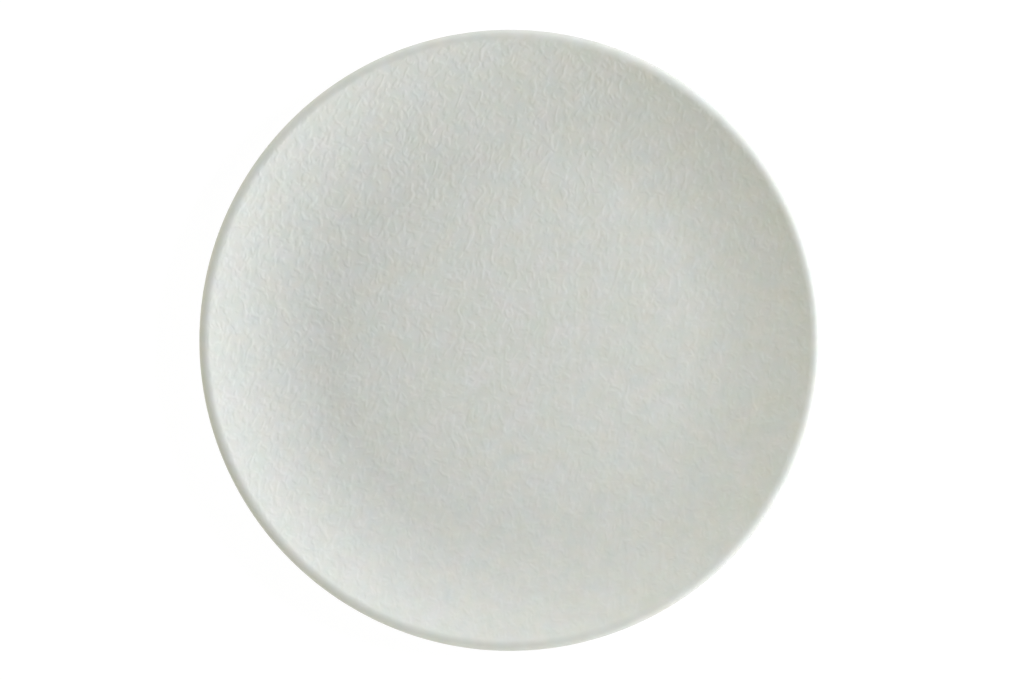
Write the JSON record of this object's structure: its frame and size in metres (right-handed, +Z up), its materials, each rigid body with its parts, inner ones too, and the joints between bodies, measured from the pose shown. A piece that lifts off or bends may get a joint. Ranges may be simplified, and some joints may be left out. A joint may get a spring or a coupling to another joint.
{
  "type": "flat plate",
  "caption": "Round coupe plate: a flat well rises in one smooth curve to a rounded lip, with a fine wrinkled satin glaze on the face and a low bare foot ring to stand on.",
  "frame": {"origin": "centre of the foot ring, in the plane of its contact face, on the plate's axis", "axes": "+Z up along the plate's axis, out of its face; the plate is round, so X and Y are alike"},
  "size_m": [0.27, 0.27, 0.022],
  "materials": {
    "bare_clay": "unglazed, fired and wiped, dry matt",
    "face_glaze": "pale grey-white satin glaze over fine worm-like wrinkles, smooth on the lip and back",
    "recess_glaze": "pale grey-white satin glaze, smooth"
  },
  "bodies": {
    "root": {"plate_body": "bare_clay", "glaze_coat": "face_glaze", "foot_well_glaze": "recess_glaze"}
  },
  "joints": []
}
